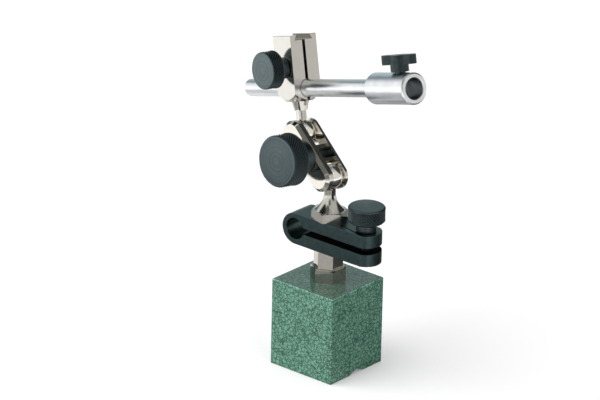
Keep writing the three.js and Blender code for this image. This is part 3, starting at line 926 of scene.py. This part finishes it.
def hexagon(flats, height, turn):
    """A hexagon of a width across flats, turned by degrees, with its top corners bevelled."""
    corner = flats / math.sqrt(3)
    bm = bmesh.new()
    bmesh.ops.create_circle(bm, cap_ends=True, radius=corner, segments=6)
    turning = Matrix.Rotation(math.radians(turn), 3, "Z")
    bmesh.ops.rotate(bm, cent=(0, 0, 0), matrix=turning, verts=bm.verts)
    extruded(bm, bm.faces[:], (0, 0, height))
    drop = 2 * corner_bevel * math.tan(math.radians(30))
    outer = corner + corner_bevel
    blank = turned([(0, 0), (outer, 0), (outer, height - drop),
                    (corner - corner_bevel, height), (0, height)])
    return cut(bm, blank, "INTERSECT")


print("hexagon corners lose", corner_bevel, "mm")

# %% Nut
nut_flats, nut_height, nut_turn = 12, 5.2, 55
nut_hole_end = 7

darker_nickel = nickel_plate("darker_nickel", ((0.37, 0.37, 0.33), (0.46, 0.455, 0.41)), (0.06, 0.11))
nut = hexagon(nut_flats, nut_height, nut_turn)
nut = cut(nut, round_bar(post_hole_radius, -overrun, nut_hole_end, post_hole_steps))
soften(nut, hexagon_edge, 2)
finished(nut, "polished_lock_nut", stand_frame @ Matrix.Translation((0, 0, foot_height)),
         darker_nickel, "base", ["base_lock_nut"])

# %% [markdown]
# ## Ball stud
#
# One stud joins the bar to the lower ball: a hexagon for the spanner, a flare that narrows like
# a trumpet, a neck, and a thin tip inside the ball. The flare is a power curve, steep at the
# hexagon and almost straight at the neck.

# %% Stud
bar_top = 59.6
stud_flats, stud_height, stud_turn = 12, 3.6, 17
shank_radius, shank_depth = 3, 4.4
core_radius, core_start = 5.4, 1
flare_height, flare_widening, flare_power, flare_steps = 6.8, 3.4, 2.1, 24
neck_radius = 2.2
ball_centre_height = 16.6
tip_radius, tip_length = 1.5, 2.8

stud_nickel = nickel_plate(
    "stud_nickel", ((0.53, 0.515, 0.465), (0.62, 0.60, 0.545)), (0.13, 0.19))
stud_hexagon = hexagon(stud_flats, stud_height, stud_turn)
soften(stud_hexagon, hexagon_edge, 2)
flare = [(neck_radius + flare_widening * (1 - i / flare_steps) ** flare_power,
          stud_height + flare_height * i / flare_steps) for i in range(flare_steps + 1)]
neck_end = ball_centre_height - ball_radius
stud = turned([
    (0, -shank_depth), (shank_radius, -shank_depth), (shank_radius, core_start),
    (core_radius, core_start), *flare, (neck_radius, neck_end), (tip_radius, neck_end),
    (tip_radius, neck_end + tip_length), (0, neck_end + tip_length)])
stud.from_mesh(as_mesh(stud_hexagon))
finished(stud, "polished_ball_stud", stand_frame @ Matrix.Translation((0, 0, bar_top)),
         stud_nickel, "base", ["lower_ball_stud"])

# %% [markdown]
# ## Turned steel
#
# The rod and its sleeve are bright steel straight from the lathe. Turning marks run round them,
# too fine to see one by one, and spread the highlight into a band along the rod. Again an
# anisotropic gloss with its tangent round the axis does that. A little stain varies the tone, and
# painted shade makes the inside of the sleeve slightly darker.

# %% Bright steel
mark_scale, mark_detail = 2600.0, 4.0
mark_bump, mark_depth = 0.18, 0.00004
stain_scale = 160.0
bore_shade_tone = 0.84
bore_edge_start, bore_edge_end = 0.00005, 0.0002


def turned_steel(name, tones, roughness, bore=0.0):
    """Steel turned round the rod's axis, with painted shade within a bore radius in metres."""
    material, tree, place = start_finish(name)
    along, round_axis, radius = spun_coordinates(tree, place, rod_frame)
    stain = noise(tree, place, stain_scale, 3.0)
    colour = ramp(tree, stain, list(zip((0.35, 0.65), tones)))
    # Painted shade inside the bore.
    shade = remap(tree, radius, bore + bore_edge_start, bore + bore_edge_end, bore_shade_tone, 1.0)
    marks = fine_rings(tree, along, mark_scale, mark_detail)
    return end_finish(material, tree, {
        "Base Color": mixed(tree, 1.0, colour, shade, "MULTIPLY"), "Metallic": 1.0,
        "Roughness": roughness, "Normal": bump(tree, marks, mark_bump, mark_depth),
        "Anisotropic": 0.5, "Tangent": vector(tree, "NORMALIZE", round_axis)})


rod_steel = turned_steel("bright_turned_steel", ((0.83, 0.86, 0.885), (0.95, 0.965, 0.98)), 0.29)
sleeve_steel = turned_steel(
    "bright_sleeve_steel", ((0.83, 0.865, 0.89), (0.94, 0.96, 0.98)), 0.27, bore=0.004)

# %% [markdown]
# ## Cross rod and gauge sleeve
#
# The rod is a plain bar with bevelled ends. The sleeve on its right end takes the stem of a
# gauge. Its profile runs down the outside and back through the bore, and closes on itself at the
# seat of the rod.

# %% Cross rod
rod_radius, rod_bevel = 3.35, 0.6
rod_left, rod_right = -31.2, 52.2

rod = turned([(0, rod_left), (rod_radius - rod_bevel, rod_left), (rod_radius, rod_left + rod_bevel),
              (rod_radius, rod_right - rod_bevel), (rod_radius - rod_bevel, rod_right),
              (0, rod_right)])
finished(rod, "turned_cross_rod", rod_frame, rod_steel, "rod", ["cross_rod"])

# %% Gauge sleeve
sleeve_start = 47.2
sleeve_length, sleeve_radius, sleeve_bevel = 24, 5.9, 0.5
shoulder_radius, shoulder_length = 4.3, 1.6
seat_radius, seat_length = 3.5, 5.15
bore_radius, bore_bevel = 4.0, 0.2

sleeve_end = sleeve_start + sleeve_length
seat_end = sleeve_start + seat_length
sleeve = turned([
    (seat_radius, sleeve_start), (shoulder_radius, sleeve_start),
    (sleeve_radius, sleeve_start + shoulder_length), (sleeve_radius, sleeve_end - sleeve_bevel),
    (sleeve_radius - sleeve_bevel, sleeve_end), (bore_radius + bore_bevel, sleeve_end),
    (bore_radius, sleeve_end - bore_bevel), (bore_radius, seat_end), (seat_radius, seat_end),
    (seat_radius, sleeve_start)])
print("sleeve is", sleeve_length, "mm long")

# %% [markdown]
# The thumb screw comes in from the side. Its hole is drilled along the screw's own axis, which
# the joint gives, so the hole bar is moved from that frame into the sleeve's.

# %% Hole for the thumb screw
thumb_to_axis = 0.0062
thumb_hole_radius = 2.15
hole_start, hole_end = 1, 8
sleeve_edge = 0.12

thumb = joints["thumb_screw_turn"]
thumb_foot = Vector(thumb["pos_m"]) - Vector(thumb["axis"]) * thumb_to_axis
thumb_frame = frame_matrix(thumb_foot, thumb["axis"], rod_way)
drill = round_bar(thumb_hole_radius, hole_start, hole_end, screw_hole_steps)
bmesh.ops.transform(drill, matrix=rod_frame.inverted() @ thumb_frame, verts=drill.verts)
sleeve = cut(sleeve, drill)
soften(sleeve, sleeve_edge, 2)
finished(sleeve, "turned_gauge_sleeve", rod_frame, sleeve_steel,
         "rod", ["rod_sleeve"])

# %% [markdown]
# ## Finishes with a dark inside
#
# Light hardly reaches into the narrow slit of the bar, so it reads as black, and the end of the
# post that shows there does too. A mask by place darkens them. The groove across the clamp block
# gets a mask as well, but a lighter one, because it is open above.

# %% Bar finish
slit_half_height = 0.0013
slit_start = 0.008
slit_colour, slit_roughness = (0.004, 0.005, 0.005), 0.95

black_bar, bar_tree, bar_place = start_finish("black_bar_steel")
bar_sockets = black_skin(bar_tree, bar_place, (0.055, 0.085, 0.087), (0.078, 0.120, 0.122))
bar_low, bar_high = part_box("flexure_bar")
bar_parts = add(bar_tree, "SeparateXYZ", {0: bar_place}).outputs
slit_middle = (bar_low.z + bar_high.z) / 2
at_level = number(bar_tree, "COMPARE", bar_parts["Z"], slit_middle, slit_half_height)
past_start = number(bar_tree, "GREATER_THAN", bar_parts["X"], foot_middle.x - slit_start)
in_slit = number(bar_tree, "MULTIPLY", at_level, past_start)
for socket, dark in (("Base Color", slit_colour), ("Roughness", slit_roughness)):
    bar_sockets[socket] = mixed(bar_tree, in_slit, bar_sockets[socket], rgba(dark))
end_finish(black_bar, bar_tree, bar_sockets)

# %% Post and block finishes
post_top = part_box("base_post")[1].z
post_nickel = nickel_plate(
    "post_nickel", plate_tones, plate_polish,
    shaded=(stand_frame, ((2, post_top, 0.0005),), (0.01, 0.01, 0.01)))

groove_spans = ((0, 0.0, 0.00545), (1, 0.0, 0.0044), (2, 0.036, 0.00095))
satin_nickel = nickel_plate(
    "satin_nickel", ((0.64, 0.62, 0.58), (0.68, 0.66, 0.615)), (0.09, 0.13),
    grain=350.0, cloudiness=0.03, shaded=(stem_frame, groove_spans, (0.40, 0.38, 0.345)))

# %% [markdown]
# ## Milled pieces
#
# The bar, the post, the clamp block, the plates and the thumb screw already have the right shape
# as solids. So each is copied, its loose triangles are merged and its flat faces made whole, and
# a Bevel modifier gives the small edge radius that catches the light.

# %% Softened copy of a solid
merge_distance = 2e-6
flat_within = math.radians(0.6)
rounded_above = math.radians(32)


def softened_copy(node, name, width, material, body, slot):
    """A piece made from a CAD solid, with its edges rounded to a width in millimetres."""
    bm = bmesh.new()
    bm.from_mesh(frame["nodes"][node].data)
    bmesh.ops.remove_doubles(bm, verts=bm.verts, dist=merge_distance)
    bmesh.ops.dissolve_limit(bm, angle_limit=flat_within, verts=bm.verts, edges=bm.edges)
    piece = finished(bm, name, Matrix.Identity(4), material, body, [node])
    rounding = piece.modifiers.new("rounded_edges", "BEVEL")
    rounding.width = width * 0.001
    rounding.segments = 2
    rounding.limit_method = "ANGLE"
    rounding.angle_limit = rounded_above
    piece.modifiers.move(1, 0)


# %% Milled pieces
milled = (
    ("flexure_bar", "black_flexure_bar", 0.25, black_bar, "base", "black_oxide"),
    ("base_post", "nickel_post", 0.12, post_nickel, "base", "nickel"),
    ("clamp_block", "nickel_clamp_block", 0.12, satin_nickel, "head", "nickel"),
    ("near_link_plate", "nickel_near_plate", 0.15, polished_nickel, "link", "nickel"),
    ("far_link_plate", "nickel_far_plate", 0.15, polished_nickel, "link", "nickel"),
    ("thumb_screw_head", "black_thumb_head", 0.4, black_moulded, "thumb_screw", "black_oxide"))
for solid in milled:
    softened_copy(*solid)
print("milled pieces", len(milled))

# %% [markdown]
# ## Ground steel, magnet and brass
#
# The underside of the foot shows two ground steel poles with a brass spacer between them. The
# magnet lies hidden above the spacer. Grinding leaves scratches in one direction, so the noise is
# stretched along the poles. These pieces and the screws sit mostly inside others, and their
# solids are right as they are.

# %% Plain metals
grind_stretch = (1.0, 8.0, 1.0)
grind_bump, grind_depth = 0.2, 0.00004


def plain_metal(name, tones, roughness, scale, metallic=1.0):
    """A metal with fine scratches along X."""
    material, tree, place = start_finish(name)
    stretched = add(tree, "Mapping", {"Vector": place, "Scale": grind_stretch}).outputs[0]
    scratches = noise(tree, stretched, scale, 4.0)
    return end_finish(material, tree, {
        "Base Color": ramp(tree, scratches, list(zip((0.3, 0.7), tones))),
        "Metallic": metallic, "Roughness": roughness,
        "Normal": bump(tree, scratches, grind_bump, grind_depth)})


ground_steel = plain_metal("ground_steel", ((0.42, 0.43, 0.44), (0.55, 0.56, 0.57)), 0.3, 500.0)
dark_magnet = plain_metal(
    "dark_magnet", ((0.05, 0.05, 0.055), (0.09, 0.09, 0.095)), 0.6, 900.0, metallic=0.3)
brass = plain_metal("machined_brass", ((0.55, 0.4, 0.17), (0.66, 0.5, 0.24)), 0.3, 600.0)

# %% [markdown]
# A CAD solid that stays only needs its material put on. At the end every node that still has
# none, because a piece stands for it, gets the black finish, so that nothing is left bare.

# %% Finishes on the solids that stay
kept_solids = (
    ("front_pole", ground_steel), ("rear_pole", ground_steel), ("magnet_block", dark_magnet),
    ("pole_spacer", brass), ("fine_adjust_screw", black_screw), ("link_screw", black_screw),
    ("clamp_screw", black_screw), ("thumb_screw_shank", black_screw))
for node_name, material in kept_solids:
    solid_mesh = frame["nodes"][node_name].data
    solid_mesh.materials.clear()
    solid_mesh.materials.append(material)
for node in frame["nodes"].values():
    if not node.data.materials:
        node.data.materials.append(black_screw)
print("solids that stay", len(kept_solids))
